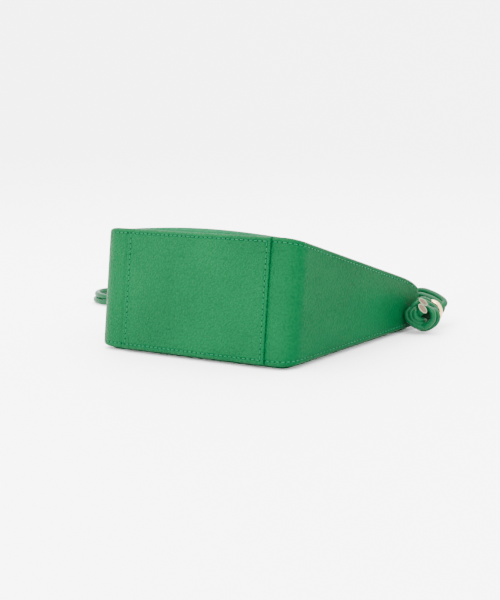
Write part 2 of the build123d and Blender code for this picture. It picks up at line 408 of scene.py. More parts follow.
# the front panel's leather is the pebbled leather made lighter: a painted sheen on its face
front_painted_sheen_leather = leather("front_painted_sheen_leather", (0.0014, 0.063, 0.022), 0.0015, 0.0006)
fold_leather = leather("fold_leather", (0.0006, 0.055, 0.017), 0.0009, 0.00015, roughness=0.38)
thread = thread_material()
# a near-black material of painted shade, for the needle holes and the inside of the knots
hole = plain_material("needle_hole_painted_shade", (0.0005, 0.010, 0.003), 0.8, 0.0004, 0.00002)
cut_leather = plain_material("cut_leather", (0.085, 0.056, 0.038), 0.75, 0.0005, 0.00012, spread=0.2)
cut_rim = plain_material("cut_rim", (0.15, 0.18, 0.115), 0.6, 0.0005, 0.00006, spread=0.12)
fibre_board = plain_material("fibre_board", (0.10, 0.06, 0.035), 0.8, 0.0008, 0.0001)
lining_cloth = woven_material("lining_cloth", (0.12, 0.085, 0.05), 0.0006)
zip_tape_cloth = woven_material("zip_tape_cloth", (0.003, 0.055, 0.016), 0.0005)
pale_gold = metal_material()


# ---- mesh helpers ----
def mesh_object(name, bm, materials, body="bag", replaces=()):
    """A smooth-shaded piece of the bag from a bmesh."""
    bmesh.ops.recalc_face_normals(bm, faces=bm.faces)
    mesh = bpy.data.meshes.new(name)
    bm.to_mesh(mesh)
    bm.free()
    for material in materials:
        mesh.materials.append(material)
    mesh.polygons.foreach_set("use_smooth", [True] * len(mesh.polygons))
    piece = bpy.data.objects.new(name, mesh)
    bpy.context.scene.collection.objects.link(piece)
    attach(piece, body)
    if replaces:
        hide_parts(*replaces)
    return piece


def grid_faces(bm, rows, closed=False, material=0):
    """Quads between rows of vertices; closed joins each row's ends."""
    for low, high in zip(rows, rows[1:]):
        count = len(low)
        for i in range(count if closed else count - 1):
            j = (i + 1) % count
            face = bm.faces.new((low[i], low[j], high[j], high[i]))
            face.material_index = material


def round_angles(count):
    """Angles evenly spaced round a circle."""
    return [2 * math.pi * k / count for k in range(count)]


def close_fan(bm, row, centre):
    """Triangles from a closed row of vertices to one in its middle."""
    for i, vertex in enumerate(row):
        bm.faces.new((vertex, row[(i + 1) % len(row)], centre))


# ---- the bag's outline ----
def outline(step=2.0):
    """The right half of the outline, from the middle of the base to the middle of the mouth.

    Each entry is a point (u, v) and its outward normal; entries are about a step apart.
    """
    flare = math.atan((MOUTH_WIDTH - BASE_WIDTH) / 2 / HEIGHT)
    side = Vector((math.sin(flare), math.cos(flare)))
    corners = [
        (Vector((BASE_WIDTH / 2, 0)), Vector((1, 0)), side, BOTTOM_CORNER),
        (Vector((MOUTH_WIDTH / 2, HEIGHT)), side, Vector((-1, 0)), MOUTH_CORNER),
    ]
    points = []
    start = Vector((0, 0))
    for corner, before, after, radius in corners:
        turn = before.angle(after)
        reach = radius * math.tan(turn / 2)
        tangent = corner - before * reach
        normal = Vector((before.y, -before.x))
        count = max(2, round((tangent - start).length / step))
        for i in range(count):
            points.append((start.lerp(tangent, i / count), normal))
        centre = tangent - normal * radius
        steps = max(6, round(radius * turn / step * 1.4))
        for i in range(steps):
            angle = turn * i / steps
            spoke = normal * math.cos(angle) + before * math.sin(angle)
            points.append((centre + spoke * radius, spoke))
        start = corner + after * reach
    count = max(2, round(start.x / step))
    for i in range(count + 1):
        points.append((start.lerp(Vector((0, HEIGHT)), i / count), Vector((0, 1))))
    return points


OUTLINE = outline()
WHOLE_OUTLINE = OUTLINE[:-1] + [
    (Vector((-point.x, point.y)), Vector((-normal.x, normal.y))) for point, normal in reversed(OUTLINE[1:])
]
PANEL_MIDDLE = Vector((0, HEIGHT * 0.5))


# distance along the outline to each of its points
OUTLINE_LENGTHS = [0.0]
for (before, _), (after, _) in zip(OUTLINE, OUTLINE[1:]):
    OUTLINE_LENGTHS.append(OUTLINE_LENGTHS[-1] + (after - before).length)


def at_distance(distance):
    """The point and the normal at a distance along the outline."""
    last = len(OUTLINE) - 2
    for i in range(last + 1):
        if distance <= OUTLINE_LENGTHS[i + 1] or i == last:
            span = OUTLINE_LENGTHS[i + 1] - OUTLINE_LENGTHS[i]
            t = (distance - OUTLINE_LENGTHS[i]) / span
            (point, normal), (next_point, next_normal) = OUTLINE[i], OUTLINE[i + 1]
            return point.lerp(next_point, t), normal.lerp(next_normal, t).normalized()


def distance_where(test):
    """First distance along the outline at which a point passes the test."""
    for (point, _), length in zip(OUTLINE, OUTLINE_LENGTHS):
        if test(point):
            return length
    return OUTLINE_LENGTHS[-1]


# ---- leather shell ----
CORNER_SOFT, CORNER_SPREAD = 4.5, 15.0    # how far the mouth's front corners give, and over what distance
CORNER_SPOT = Vector((95.0, 182.0))


def edge_depth(u, v, sign=1):
    """Half of the bag's thickness at its fold; the front one is pinched in at the mouth's corners."""
    if sign < 0:
        return half_depth(v)
    away = (Vector((abs(u), v)) - CORNER_SPOT).length / CORNER_SPREAD
    return half_depth(v) - CORNER_SOFT * math.exp(-away * away)


FOLD = 2.6    # radius of the gusset's folded edge
FOLD_TUCK = 3.2    # how far the fold runs on into the seam
FOLD_LEAD = 3.0    # flat stretch before the fold, where the stitches lie
FOLD_POINTS = 6
SEAM_DIP, SEAM_DIP_REACH = 0.35, 0.9    # how deep the thread pulls the leather in, and how far away


def dip_beside(distance, reach):
    """Share of the full dip at a distance from a row of stitches."""
    away = distance / reach
    return math.exp(-away * away)


def half_profile(depth, bulge):
    """From the middle of a strip over one fold into its seam, as (w, height above the outline)."""
    half = []
    flat = depth - FOLD
    open_width = flat - FOLD_LEAD
    for i in range(15):
        w = open_width * i / 15
        half.append((w, bulge * (1 - (w / open_width) ** 2) ** 2))
    for i in range(9):
        half.append((open_width + FOLD_LEAD * i / 8, 0.0))
    for i in range(1, FOLD_POINTS + 1):
        angle = math.pi / 2 * i / FOLD_POINTS
        half.append((flat + FOLD * math.sin(angle), FOLD * (math.cos(angle) - 1)))
    half.append((depth - 0.1, -FOLD - FOLD_TUCK * 0.4))
    half.append((depth - 0.5, -FOLD - FOLD_TUCK))
    row = depth - STITCH_INSET
    return [(w, h - SEAM_DIP * dip_beside(w - row, SEAM_DIP_REACH)) for w, h in half]


def strip_profile(front_depth, back_depth, bulge=0.0):
    """Across a strip, from the back seam over both folds to the front seam, as (w, height)."""
    front = half_profile(front_depth, bulge)
    back = half_profile(back_depth, bulge)
    return [(-w, h) for w, h in reversed(back[1:])] + front


GUSSET_GIVE = 1.0    # how far a gusset's middle sinks in, at half its height
GUSSET_UNDER_BASE = 7.0    # how far a gusset runs on under the base panel
MOUTH_TOP = HEIGHT - 1e-6


def gusset_soften(distance, side_start, side_end):
    """Height of the gusset's middle over the outline: it gives inward."""
    if distance < side_start or distance > side_end:
        return 0.0
    t = (distance - side_start) / (side_end - side_start)
    return -GUSSET_GIVE * math.sin(math.pi * t) ** 2


def base_end(sign):
    """How far the base panel reaches from the middle of the base, on one side."""
    return BASE_PANEL_HALF + sign * BASE_PANEL_MIDDLE


def gusset(side):
    """Side strip, from under the base panel to the end of the mouth."""
    sign = 1 if side == "right" else -1
    start = distance_where(lambda p: p.x >= base_end(sign) - GUSSET_UNDER_BASE)
    covered = distance_where(lambda p: p.x >= base_end(sign) + 0.5)
    end = distance_where(lambda p: p.y > MOUTH_TOP and p.x <= MOUTH_SEAM)
    corner_end = distance_where(lambda p: p.y >= BOTTOM_CORNER)
    clearance = 0.3    # between the gusset and the base panel over it
    row_spacing = 1.6
    rows = []
    bm = bmesh.new()
    steps = int((end - start) / row_spacing)
    for i in range(steps + 1):
        distance = start + (end - start) * i / steps
        point, normal = at_distance(distance)
        soften = gusset_soften(distance, corner_end - 5, end - 20)
        row = []
        for w, height in strip_profile(edge_depth(point.x, point.y), half_depth(point.y), bulge=soften):
            lift = height - (clearance if distance < covered else 0.0)
            spot = point + normal * lift
            row.append(bm.verts.new(place(sign * spot.x, spot.y, w)))
        rows.append(row)
    grid_faces(bm, rows)
    name = "gusset_shell_" + side
    return mesh_object(name, bm, [gusset_painted_shade_leather], replaces=["gusset_" + side])


def side_lining():
    """Lining of both side strips, just inside the leather and short of its folds."""
    drop, thickness, short = 2.0, 0.6, 5.0
    row_spacing, across = 2.5, 6
    end = distance_where(lambda p: p.y > MOUTH_TOP and p.x <= MOUTH_SEAM)
    bm = bmesh.new()
    for sign in (-1, 1):
        start = distance_where(lambda p: p.x >= base_end(sign) - 6)
        rows = []
        steps = int((end - start) / row_spacing)
        for i in range(steps + 1):
            point, normal = at_distance(start + (end - start) * i / steps)
            front, back = edge_depth(point.x, point.y) - short, half_depth(point.y) - short
            row = []
            for level in (drop, drop + thickness):
                spot = point - normal * level
                columns = range(across + 1) if level == drop else reversed(range(across + 1))
                for column in columns:
                    w = -back + (front + back) * column / across
                    row.append(bm.verts.new(place(sign * spot.x, spot.y, w)))
            rows.append(row)
        grid_faces(bm, rows, closed=True)
        bm.faces.new(rows[0])
        bm.faces.new(rows[-1])
    return mesh_object("side_lining_sheet", bm, [lining_cloth], replaces=["side_lining"])


BASE_SWELL = 0.9
BASE_EDGE = 0.9    # radius of the base panel's cut ends


def base_crown(u, w):
    """The base panel's slight swell, as a height over its flat face."""
    along = max(0.0, 1 - ((u - BASE_PANEL_MIDDLE) / BASE_PANEL_HALF) ** 2)
    across = max(0.0, 1 - (w / half_depth(0)) ** 2)
    return BASE_SWELL * along * across


def base_cover():
    """Base panel: a slab laid over the gussets' ends, with its cut ends rounded over."""
    # each station is its distance from the panel's middle and its height over the gussets
    ends = []
    for i in range(5):
        angle = math.pi / 2 * i / 4
        end_reach = BASE_PANEL_HALF - BASE_EDGE + BASE_EDGE * math.sin(angle)
        ends.append((end_reach, BASE_LEATHER - BASE_EDGE + BASE_EDGE * math.cos(angle)))
    ends.append((BASE_PANEL_HALF, 0.0))
    ends.append((BASE_PANEL_HALF - 1.0, -0.6))
    beside_seam = (-4.0, -2.4, -1.4, -0.8, -0.3, 0.0, 0.3, 0.8, 1.4)
    seam = [(BASE_SEAM + away, BASE_LEATHER) for away in beside_seam]
    inner = [(4.0 * i, BASE_LEATHER) for i in range(14)]
    half = inner + seam + ends
    stations = [(-u, h) for u, h in reversed(half[1:])] + half
    bm = bmesh.new()
    rows = []
    for away_from_middle, top in stations:
        u = BASE_PANEL_MIDDLE + away_from_middle
        row = []
        for w, height in strip_profile(half_depth(0), half_depth(0)):
            inside = min(1.0, max(0.0, (half_depth(0) - 1.5 - abs(w)) / 3))
            dip = SEAM_DIP * dip_beside(abs(away_from_middle) - BASE_SEAM, SEAM_DIP_REACH) * inside
            row.append(bm.verts.new(place(u, -(top + height - dip + base_crown(u, w)), w)))
        rows.append(row)
    grid_faces(bm, rows)
    return mesh_object("base_cover", bm, [pebbled_leather], replaces=["base_panel"])


PUFF = 3.9    # how far the front panel swells past the base's fold, at its most
PUFF_MIDDLE, PUFF_REACH, PUFF_FADE = 3.0, 78.0, 70.0
FRONT_EDGE = 0.2    # how far the front panel stands out at its edges
FRONT_CROWN, CROWN_REACH = 2.2, 92.0


def front_lift(u, v):
    """How far the front panel stands past its fold: most beside the middle of the base."""
    along = math.cos(math.pi / 2 * max(-1.0, min(1.0, (u - PUFF_MIDDLE) / PUFF_REACH)))
    puff = PUFF * along * math.exp(-(v / PUFF_FADE) ** 2)
    share = max(0.0, min(1.0, v / HEIGHT))
    crown = FRONT_CROWN * max(0.0, 1 - (u / CROWN_REACH) ** 2) * math.sin(math.pi * share)
    return FRONT_EDGE + puff + crown


def back_lift(u, v):
    """How far the back panel stands past its fold: it lies flat, so the same all over."""
    return PANEL_PROUD


FRONT_INSET, BACK_INSET = 2.3, 5.2    # from a panel's outer edge to the bag's outline
SEAM_LIFT = -2.4    # height of a panel's edge, in the seam, over the fold beside it
PANEL_ROLL = 4.2    # how far in from its edge a panel has rolled over to its face


def panel_vertex(bm, spot, sign, rise):
    """A vertex at a height over the front or the back fold, at a point (u, v)."""
    depth = edge_depth(spot.x, spot.y, sign)
    return bm.verts.new(place(spot.x, spot.y, sign * (depth + rise / COS_WEDGE)))


def panel_shell(name, sign, node, lift_at):
    """A front or back panel: a face that rolls over into the seam beside the gusset's fold."""
    inset = FRONT_INSET if sign > 0 else BACK_INSET
    # inset of each ring, and its share of the rise from the seam to the face
    rings = [(inset + 0.3, -0.25)]
    for i in range(11):
        angle = math.pi / 2 * i / 10
        rings.append((inset + PANEL_ROLL * (1 - math.cos(angle)), math.sin(angle)))
    for more in (1.2, 2.6, 4.2):
        rings.append((inset + PANEL_ROLL + more, 1.0))
    bm = bmesh.new()

    def vertex(spot, share):
        rise = SEAM_LIFT + (lift_at(spot.x, spot.y) - SEAM_LIFT) * share
        return panel_vertex(bm, spot, sign, rise)

    rows = []
    for depth, share in rings:
        rows.append([vertex(point - normal * depth, share) for point, normal in WHOLE_OUTLINE])
    # the rest of the face closes in on the middle
    edge = [point - normal * rings[-1][0] for point, normal in WHOLE_OUTLINE]
    for step in range(1, 20):
        rows.append([vertex(spot.lerp(PANEL_MIDDLE, step / 20), 1.0) for spot in edge])
    grid_faces(bm, rows, closed=True)
    close_fan(bm, rows[-1], vertex(PANEL_MIDDLE, 1.0))
    material = front_painted_sheen_leather if sign > 0 else pebbled_leather
    return mesh_object(name, bm, [material], replaces=[node])


def inner_sheet(face, sign, kind, material, lift_at, drop, thickness):
    """A board or lining that follows a panel from inside; drop is its depth under the panel's face."""
    inset = 10.0
    edge = [point - normal * inset for point, normal in WHOLE_OUTLINE]
    bm = bmesh.new()

    def vertex(spot, depth):
        return panel_vertex(bm, spot, sign, lift_at(spot.x, spot.y) - depth)

    rows = []
    shares = [step / 10 for step in range(10)]
    for depth, order in ((drop, reversed(shares)), (drop + thickness, shares)):
        for share in order:
            rows.append([vertex(spot.lerp(PANEL_MIDDLE, share), depth) for spot in edge])
    grid_faces(bm, rows, closed=True)
    close_fan(bm, rows[0], vertex(PANEL_MIDDLE, drop))
    close_fan(bm, rows[-1], vertex(PANEL_MIDDLE, drop + thickness))
    name = face + "_" + kind
    return mesh_object(name + "_sheet", bm, [material], replaces=[name])


# ---- mouth ----
FACING_INNER = 3.6    # from the zip's middle to a facing's folded edge
FACING_EDGE = 0.9    # radius of that fold
FACING_STITCH = 6.0    # the row beside the zip
TAPE_INNER, TAPE_OUTER = 1.9, 5.8
TAPE_MIDDLE = -2.2    # a tape's height over the mouth's edge
TAPE_HALF = 0.32    # half of its thickness


def zip_facing(face, sign):
    """One of the two leather strips beside the zip, folded at both long edges."""
    inner_fold = [(FACING_INNER + 1.2, -1.75), (FACING_INNER + 0.2, -1.7), (FACING_INNER, -1.3)]
    for i in range(6):
        angle = math.pi / 2 * i / 5
        w = FACING_INNER + FACING_EDGE - FACING_EDGE * math.cos(angle)
        inner_fold.append((w, -FACING_EDGE + FACING_EDGE * math.sin(angle)))
    clearance = 0.1    # under the outline, so that the strip's ends lie under the gussets'
    outer_fold_points = 11
    bm = bmesh.new()
    rows = []
    steps = 90
    for i in range(steps + 1):
        u = -MOUTH_SEAM + 2 * MOUTH_SEAM * i / steps
        near_end = max(0.0, 1 - (MOUTH_SEAM - abs(u)) / 1.5)
        end_dip = 0.5 * near_end ** 2
        section = list(inner_fold)
        depth = edge_depth(u, HEIGHT, sign)
        flat_start = FACING_INNER + 1.0
        for share in range(1, 15):
            w = flat_start + (depth - FOLD - flat_start) * share / 15
            section.append((w, -0.3 * dip_beside(w - FACING_STITCH, 0.8)))
        section += half_profile(depth, 0.0)[-outer_fold_points:]
        row = []
        for w, height in section:
            wave = 0.22 * math.sin(u / 9.0 + sign) * max(0.0, 1 - (w - FACING_INNER) / 8)
            v = HEIGHT + height - end_dip + wave - clearance
            row.append(bm.verts.new(place(u, v, sign * w)))
        rows.append(row)
    grid_faces(bm, rows)
    name = "zip_facing_shell_" + face
    return mesh_object(name, bm, [gusset_painted_shade_leather], replaces=["zip_facing_" + face])


def zip_tape(face, sign):
    """Woven tape that carries one row of teeth, with a slight ripple."""
    bm = bmesh.new()
    rows = []
    steps = 150
    half = MOUTH_SEAM - 1
    across = 6
    for i in range(steps + 1):
        u = -half + 2 * half * i / steps
        ripple = 0.12 * math.sin(u / 3.1 + sign) + 0.08 * math.sin(u / 7.3)
        row = []
        for level in (TAPE_HALF, -TAPE_HALF):
            for k in range(across + 1):
                share = k / across if level > 0 else 1 - k / across
                w = TAPE_INNER + (TAPE_OUTER - TAPE_INNER) * share
                v = HEIGHT + TAPE_MIDDLE + level + ripple * share
                row.append(bm.verts.new(place(u, v, sign * w)))
        rows.append(row)
    grid_faces(bm, rows, closed=True)
    bm.faces.new(rows[0])
    bm.faces.new(rows[-1])
    name = "zip_tape_cloth_" + face
    return mesh_object(name, bm, [zip_tape_cloth], replaces=["zip_tape_" + face])


TAB_LEATHER, TAB_WIDTH = 1.4, 6.5
TAB_START, TAB_BEND = 75.2, 90.7    # the strap's end, and where it leaves the mouth for the ring
TAB_LOOP_U = RING_U + 0.35
TAB_LOOP_RADIUS = 3.1
TAB_LOOP_FROM, TAB_LOOP_TURN = 92, 222    # in degrees


def tab_path():
    """Middle line of the strap, from its upper end, round the ring and back beneath itself."""
    upper, lower = HEIGHT + 1.5 * TAB_LEATHER, HEIGHT + 0.5 * TAB_LEATHER
    points = [(TAB_START + (TAB_BEND - TAB_START) * i / 8, upper) for i in range(9)]
    points += [(93.6, upper - 0.1), (96.2, upper - 0.25)]
    for i in range(13):
        angle = math.radians(TAB_LOOP_FROM - TAB_LOOP_TURN * i / 12)
        reach, rise = TAB_LOOP_RADIUS * math.cos(angle), TAB_LOOP_RADIUS * math.sin(angle)
        points.append((TAB_LOOP_U + reach, RING_V + rise))
    points += [(95.2, 183.3), (93.2, 184.7), (90.8, lower + 0.1)]
    lower_start = TAB_BEND - 1
    points += [(lower_start - (lower_start - TAB_START) * i / 6, lower) for i in range(1, 7)]
    return [Vector(point) for point in points]


def signed_power(value, power):
    """A power that keeps the sign, which squares off or rounds a section."""
    return math.copysign(abs(value) ** power, value)


def ring_tab(side):
    """Folded leather strap that holds a ring, with rounded edges."""
    sign = 1 if side == "right" else -1
    sides = 20
    half_thickness = TAB_LEATHER / 2 - 0.03
    path = tab_path()
    bm = bmesh.new()
    rows = []
    for i, point in enumerate(path):
        along = (path[min(i + 1, len(path) - 1)] - path[max(i - 1, 0)]).normalized()
        outward = Vector((-along.y, along.x))
        row = []
        for angle in round_angles(sides):
            across = signed_power(math.cos(angle), 0.45) * TAB_WIDTH / 2
            rise = signed_power(math.sin(angle), 0.7) * half_thickness
            spot = point + outward * rise
            row.append(bm.verts.new(place(sign * spot.x, spot.y, RING_W + across)))
        rows.append(row)
    grid_faces(bm, rows, closed=True)
    bm.faces.new(rows[0])
    bm.faces.new(rows[-1])
    name = "ring_strap_" + side
    return mesh_object(name, bm, [fold_leather], replaces=["ring_tab_" + side])


# ---- stitches ----
THREAD = 0.72    # width of a stitch's thread
THREAD_SINK = 0.12
NEEDLE_HOLE = (0.62, 0.5)    # half of a hole's length along the row, and of its width
STITCH_SIDES = 8


def add_stitch(bm, a, b, outward):
    """One raised thread between two needle holes, as a rounded bar, with a dark disc of painted shade in the
    hole at its start.
    """
    along = (b - a).normalized()
    across = along.cross(outward).normalized()
    length = (b - a).length
    rings = []
    for i in range(7):
        t = i / 6
        # the thread dives into a hole at each end
        arch = math.sin(math.pi * t) ** 0.5 if 0 < t < 1 else 0.0
        height = (THREAD * 0.42 * arch - THREAD_SINK) * MM
        centre = a + along * length * (0.12 + 0.76 * t) + outward * height
        radius = THREAD / 2 * (0.55 + 0.45 * arch) * MM
        ring = []
        for angle in round_angles(STITCH_SIDES):
            spoke = across * math.cos(angle) + outward * math.sin(angle)
            ring.append(bm.verts.new(centre + spoke * radius))
        rings.append(ring)
    grid_faces(bm, rings, closed=True)
    bm.faces.new(list(reversed(rings[0])))
    bm.faces.new(rings[-1])
    # painted shade in the needle hole: a dark disc that lies just over the leather
    half_long, half_wide = NEEDLE_HOLE
    lip = []
    for angle in round_angles(STITCH_SIDES):
        offset = along * math.cos(angle) * half_long + across * math.sin(angle) * half_wide
        lip.append(bm.verts.new(a + (offset + outward * 0.07) * MM))
    disc = bm.faces.new(lip)
    disc.material_index = 1


def stitch_row(bm, path):
    """Stitches along a list of (point, outward) a pitch apart."""
    for (a, out_a), (b, out_b) in zip(path, path[1:]):
        add_stitch(bm, a, b, ((out_a + out_b) / 2).normalized())


def direction(u, v, w):
    """A direction of the bag's own frame, in the shared frame."""
    return (place(u, v, w) - place(0, 0, 0)).normalized()


STITCH_DIP = 0.30    # how far a stitch's ends lie under the leather's face
STRAP_STITCHES, STRAP_PITCH = 4, 3
STRAP_FROM = 77    # where a strap's two rows start
STRAP_ROW = 2.1    # from a strap's middle to either row


def straight_row(start, end, count, v_at, outward):
    """Stitch ends along a straight line between two points (u, w), on a face that lies at v_at(u, w)."""
    (u0, w0), (u1, w1) = start, end
    path = []
    for i in range(count + 1):
        u, w = u0 + (u1 - u0) * i / count, w0 + (w1 - w0) * i / count
        path.append((place(u, v_at(u, w), w), outward))
    return path


def fold_row(side, face):
    """Stitch ends beside one fold of a gusset, from the base panel to the mouth's middle."""
    start = distance_where(lambda p: p.x >= base_end(side) + 0.8)
    end = OUTLINE_LENGTHS[-1]
    count = int((end - start) / STITCH_PITCH)
    path = []
    for i in range(count + 1):
        point, normal = at_distance(start + (end - start) * i / count)
        spot = point - normal * STITCH_DIP
        w = face * (edge_depth(point.x, point.y, face) - STITCH_INSET)
        path.append((place(side * spot.x, spot.y, w), direction(side * normal.x, normal.y, 0)))
    return path


def stitches():
    """Every row of stitches that shows."""
    bm = bmesh.new()

    def base_face(u, w):
        return -(BASE_LEATHER - STITCH_DIP + base_crown(u, w))

    downward, upward = direction(0, -1, 0), direction(0, 1, 0)
    row_w = half_depth(0) - STITCH_INSET
    low, high = BASE_PANEL_MIDDLE - BASE_SEAM, BASE_PANEL_MIDDLE + BASE_SEAM
    count = round(2 * BASE_SEAM / STITCH_PITCH)
    for w in (-row_w, row_w):
        stitch_row(bm, straight_row((low, w), (high, w), count, base_face, downward))
    count = round(2 * row_w / STITCH_PITCH)
    for u in (low, high):
        stitch_row(bm, straight_row((u, -row_w), (u, row_w), count, base_face, downward))
    strap_top = HEIGHT + 2 * TAB_LEATHER
    strap_to = STRAP_FROM + STRAP_PITCH * STRAP_STITCHES
    for side in (-1, 1):
        for face in (-1, 1):
            stitch_row(bm, fold_row(side, face))
            w = RING_W + face * STRAP_ROW
            start, end = (side * STRAP_FROM, w), (side * strap_to, w)
            stitch_row(bm, straight_row(start, end, STRAP_STITCHES, lambda u, w: strap_top, upward))
    # beside the zip
    reach = MOUTH_SEAM - 3
    facing_top = HEIGHT - 0.35
    count = int(2 * reach / STITCH_PITCH)
    for face in (-1, 1):
        w = face * FACING_STITCH
        stitch_row(bm, straight_row((-reach, w), (reach, w), count, lambda u, w: facing_top, upward))
    return mesh_object("seam_stitches", bm, [thread, hole])


# ---- handle cords ----
# Route points of the two cords, from the right knot to the left one, measured from the middle of the
# base's edge on the floor.
CORD_ROUTES = {
    "handle_cord_upper": [
        (110.2, 164.0, 15.0), (106.9, 180.2, 14.6), (115.4, 192.5, 17.4),
        (103.5, 198.5, 23.0), (84.0, 200.0, 27.6), (60.0, 207.0, 11.0),
        (24.0, 207.5, 4.0), (-46.0, 212.0, 2.6), (-104.0, 221.5, 2.6),
        (-159.4, 230.4, 2.6), (-197.7, 198.2, 4.0), (-229.0, 173.0, 8.0),
        (-224.0, 144.5, 8.6), (-191.5, 136.5, 7.6), (-164.4, 175.5, 3.4),
        (-134.0, 218.2, 6.0), (-103.5, 205.6, 12.8), (-107.3, 179.2, 15.6),
        (-110.2, 164.0, 15.2),
    ],
    "handle_cord_lower": [
        (110.2, 164.0, 9.5), (107.1, 179.8, 9.0), (115.6, 188.0, 14.8),
        (103.0, 191.0, 21.6), (84.0, 193.5, 24.6), (58.0, 207.0, 4.4),
        (20.0, 212.4, 2.6), (-46.0, 218.0, 2.6), (-104.0, 227.8, 2.6),
        (-164.4, 238.7, 2.6), (-203.9, 205.0, 2.6), (-232.9, 175.4, 2.6),
        (-225.0, 143.0, 3.4), (-190.5, 135.0, 3.0), (-157.9, 171.7, 2.6),
        (-132.1, 211.0, 2.6), (-109.1, 201.3, 6.6), (-107.3, 179.6, 9.9),
        (-110.2, 164.0, 9.7),
    ],
}


def cord_object(name, runs, diameter, resolution=10):
    """Round leather cord along smooth curves near given points, in metres; one curve for each run."""
    data = bpy.data.curves.new(name, "CURVE")
    data.dimensions = "3D"
    for points in runs:
        spline = data.splines.new("NURBS")
        spline.points.add(len(points) - 1)
        for target, point in zip(spline.points, points):
            target.co = (*point, 1)
        spline.order_u = 3
        spline.use_endpoint_u = True
        spline.resolution_u = resolution
    data.bevel_depth = diameter / 2 * MM
    data.bevel_resolution = 8
    data.use_fill_caps = True
    data.materials.append(cord_leather)
    piece = bpy.data.objects.new(name, data)
    bpy.context.scene.collection.objects.link(piece)
    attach(piece, "bag")
    return piece


KNOT_STRAND = 4.4    # the cord's diameter where it is pulled tight in a knot
# Runs of cord on the right knot, as (right, up, toward the camera) from its middle.
KNOT_RUNS = {
    "left_outer": [
        (-1.0, 8.0, -4.0), (-6.0, 7.8, -2.0), (-11.4, 4.0, -1.0), (-11.9, 1.0, 0.0), (-11.0, -2.2, 1.5),
        (-8.6, -4.8, 3.0), (-4.7, -7.3, 4.6), (-0.8, -8.7, 4.8), (2.5, -8.9, 3.0), (7.0, -7.5, -1.0),
        (7.5, -3.0, -5.0), (3.0, 1.0, -7.0),
    ],
    "left_middle": [
        (1.0, 6.0, -2.0), (-4.5, 6.5, 2.0), (-8.5, 3.5, 3.2), (-8.8, 1.0, 3.6), (-8.0, -1.4, 3.8),
        (-6.2, -3.2, 4.2), (-3.0, -4.9, 4.6), (0.5, -5.7, 4.0), (3.0, -5.6, 2.0), (6.0, -3.5, -2.0),
    ],
    "left_inner": [
        (-2.0, 5.5, 0.0), (-4.6, 4.6, 4.2), (-5.8, 2.6, 5.8), (-5.8, 0.5, 6.2), (-4.8, -1.0, 6.2),
        (-2.5, -2.2, 5.6), (0.5, -2.8, 3.5), (3.0, -3.0, -1.0),
    ],
    "right_inner": [
        (-1.0, 5.5, -2.0), (3.4, 7.2, 2.5), (5.8, 6.0, 6.8), (7.6, 3.2, 9.0), (8.2, 0.3, 9.4),
        (7.9, -2.0, 9.2), (6.6, -4.6, 8.6), (4.2, -6.8, 7.8), (1.6, -8.2, 5.5), (-1.5, -8.0, 0.0),
        (-3.0, -5.0, -4.0),
    ],
    "right_outer": [
        (3.0, 4.0, -5.0), (7.0, 5.4, -0.5), (9.6, 4.9, 3.2), (11.3, 2.9, 5.0), (12.1, 0.0, 5.6),
        (11.9, -2.4, 5.2), (10.2, -5.6, 4.8), (6.5, -8.1, 4.2), (3.5, -9.7, 2.8), (-0.5, -10.0, -1.5),
        (-4.0, -7.0, -5.0),
    ],
    "top": [
        (-9.0, 3.0, -3.0), (-7.8, 6.6, -1.0), (-4.8, 9.8, -0.5), (-0.5, 11.6, -1.5), (4.0, 11.6, -4.0),
        (7.0, 9.0, -7.0),
    ],
    "neck": [
        (-4.5, 7.0, -6.0), (-3.6, 11.2, -5.0), (-0.5, 13.4, -5.5), (4.0, 13.6, -7.0), (8.0, 11.5, -9.5),
    ],
    "throat": [
        (1.0, 9.6, -3.0), (5.5, 9.8, -3.0), (9.4, 8.4, -3.6), (13.0, 5.4, -7.0),
    ],
    "rear_outer": [
        (6.0, 8.0, -1.0), (1.0, 9.6, -5.0), (-6.0, 6.8, -8.0), (-9.6, 0.0, -6.5), (-7.5, -6.5, -5.0),
        (0.0, -8.8, -4.5), (6.8, -6.4, -5.0), (9.4, 0.0, -4.5), (6.5, 6.0, -3.0),
    ],
    "rear_inner": [
        (3.2, 4.0, -5.0), (-2.0, 5.0, -9.0), (-5.5, 0.5, -9.8), (-3.5, -4.8, -9.2), (2.0, -5.8, -8.8),
        (6.4, -2.5, -8.5), (6.0, 3.5, -7.0),
    ],
}
# Each trimmed end: where it starts, where it is cut, the cut's long and short halves and its slant
# in degrees.
KNOT_TAILS = {
    "lower": ((-3.6, 0.5, 3.0), (-0.8, 6.4, 12.0), 4.5, 2.3, -49),
    "upper": ((-3.0, 5.5, 2.0), (-0.2, 11.6, 11.0), 4.1, 2.0, -40),
}
KNOT_CENTRES = {"right": (111.8, 156.0, 12.32), "left": (-111.8, 156.0, 12.32)}
KNOT_SHIFT = (-1.5, 1.2)    # right and up, from that centre to the middle of the runs
CORE_HALF = (8.6, 8.2, 5.5)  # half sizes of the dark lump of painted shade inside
CORE_SET_BACK = 3.5


def knot_point(side, spot):
    """A point of a knot's own frame, in metres; the left knot is the right one mirrored."""
    right, up, back = camera_axes(TURN, RISE, ROLL)
    offset = right * (spot[0] + KNOT_SHIFT[0]) + up * (spot[1] + KNOT_SHIFT[1]) + back * spot[2]
    if side == "left":
        offset.x = -offset.x
    return world(*(Vector(KNOT_CENTRES[side]) + offset))


